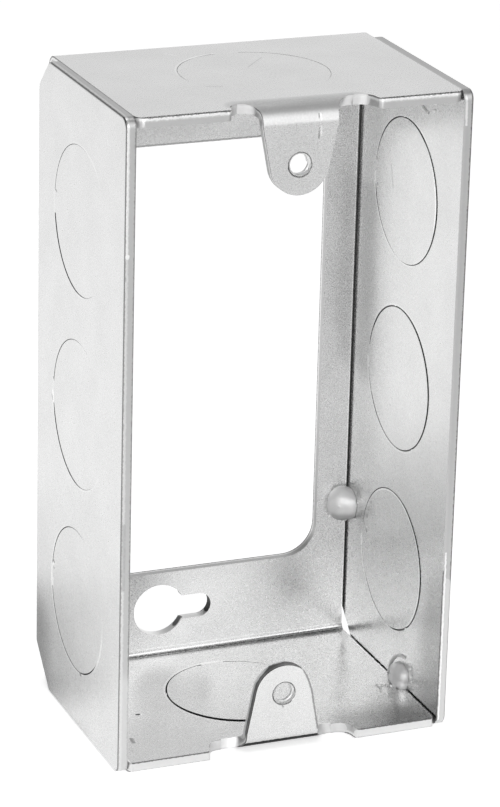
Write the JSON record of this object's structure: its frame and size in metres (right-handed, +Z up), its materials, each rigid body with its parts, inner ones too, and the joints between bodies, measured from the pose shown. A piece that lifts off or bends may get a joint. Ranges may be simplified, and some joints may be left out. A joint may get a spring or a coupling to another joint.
{
  "type": "handy box extension",
  "caption": "Open-front extension for a single-device utility box: a folded steel channel with device ears and a keyholed, windowed back flange, closed by welded side plates with knockouts.",
  "frame": {"origin": "centre of the bottom face, halfway between the side plates and halfway from front rim to back flange", "axes": "+Z up along the long side, -Y out of the open front, +Y out of the back flange, +X to the right when looking into the front"},
  "size_m": [0.054, 0.0382, 0.1016],
  "materials": {
    "galvanised_sheet": "matte galvanised sheet with a fine grain, as rolled and punched",
    "weld_metal": "bright as welded, smooth and glossy"
  },
  "bodies": {
    "root": {"folded_channel": "galvanised_sheet", "left_side_plate": "galvanised_sheet", "right_side_plate": "galvanised_sheet", "left_seam_welds": "weld_metal", "right_seam_welds": "weld_metal"}
  },
  "joints": []
}
